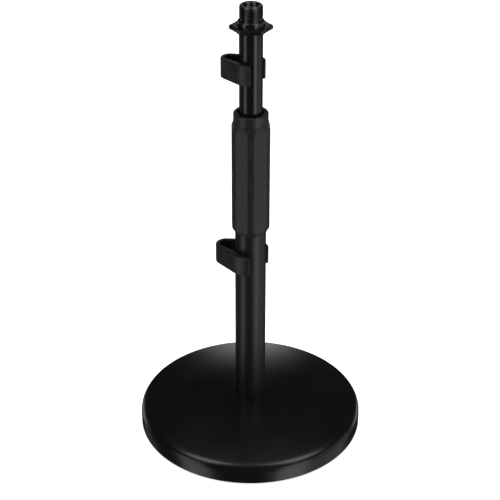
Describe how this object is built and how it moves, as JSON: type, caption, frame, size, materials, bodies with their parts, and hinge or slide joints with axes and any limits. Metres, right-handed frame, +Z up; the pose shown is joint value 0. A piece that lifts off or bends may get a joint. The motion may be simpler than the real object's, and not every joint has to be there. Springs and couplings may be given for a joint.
{
  "type": "desktop microphone stand",
  "caption": "Desktop microphone stand: round weighted base, telescopic tube with twist clutch, threaded top with star flange, open cable clips.",
  "frame": {"origin": "on the surface that the stand rests on, under the tubes' common axis", "axes": "+Z up along the tubes; +X to the right, away from the cable clips' pockets; -Y to the front"},
  "size_m": [0.164, 0.164, 0.3293],
  "materials": {
    "powder_coated_iron": "satin black powder coat",
    "pad_rubber": "matt",
    "zinc_steel": "bright zinc plate",
    "spring_steel": "oiled black",
    "satin_enamel_tube": "satin black",
    "gloss_enamel_tube": "gloss black",
    "gloss_enamel_adapter": "gloss black",
    "cast_zinc": "as cast",
    "natural_nylon": "natural",
    "acetal": "white, smooth",
    "moulded_nylon": "fine spark texture",
    "grip_rubber": "matt, fine texture",
    "clip_nylon": "satin moulded"
  },
  "bodies": {
    "base": {"base_plate": "powder_coated_iron", "base_pad": "pad_rubber", "flat_washer": "zinc_steel", "spring_washer": "zinc_steel", "base_bolt": "zinc_steel", "tube_plug": "zinc_steel", "lower_tube": "satin_enamel_tube", "clutch_body": "cast_zinc", "collet": "natural_nylon", "thrust_washer": "acetal"},
    "clutch": {"clutch_sleeve": "moulded_nylon", "grip_cover": "grip_rubber"},
    "bush": {"guide_bush": "acetal"},
    "mast": {"mast_tube": "gloss_enamel_tube", "stop_ring": "spring_steel", "mast_foot_plug": "moulded_nylon", "top_stud": "zinc_steel"},
    "adapter": {"thread_adapter": "gloss_enamel_adapter"},
    "upper_clip": {"upper_clip": "clip_nylon"},
    "lower_clip": {"lower_clip": "clip_nylon"}
  },
  "joints": [
    {"name": "clutch_twist", "type": "hinge", "parent": "base", "child": "clutch", "pos_m": [0, 0, 0.2], "axis": [0, 0, 1], "range_deg": [0, 180]},
    {"name": "height_slide", "type": "slide", "parent": "base", "child": "bush", "axis": [0, 0, 1], "range_m": [-0.021, 0.085]},
    {"name": "mast_turn", "type": "hinge", "parent": "bush", "child": "mast", "pos_m": [0, 0, 0.2], "axis": [0, 0, 1], "continuous": true},
    {"name": "adapter_turn", "type": "hinge", "parent": "mast", "child": "adapter", "pos_m": [0, 0, 0.32], "axis": [0, 0, 1], "range_deg": [0, 180]},
    {"name": "upper_clip_slide", "type": "slide", "parent": "mast", "child": "upper_clip", "axis": [0, 0, 1], "range_m": [0, 0.02]},
    {"name": "lower_clip_slide", "type": "slide", "parent": "base", "child": "lower_clip", "axis": [0, 0, 1], "range_m": [-0.1, 0.014]}
  ]
}
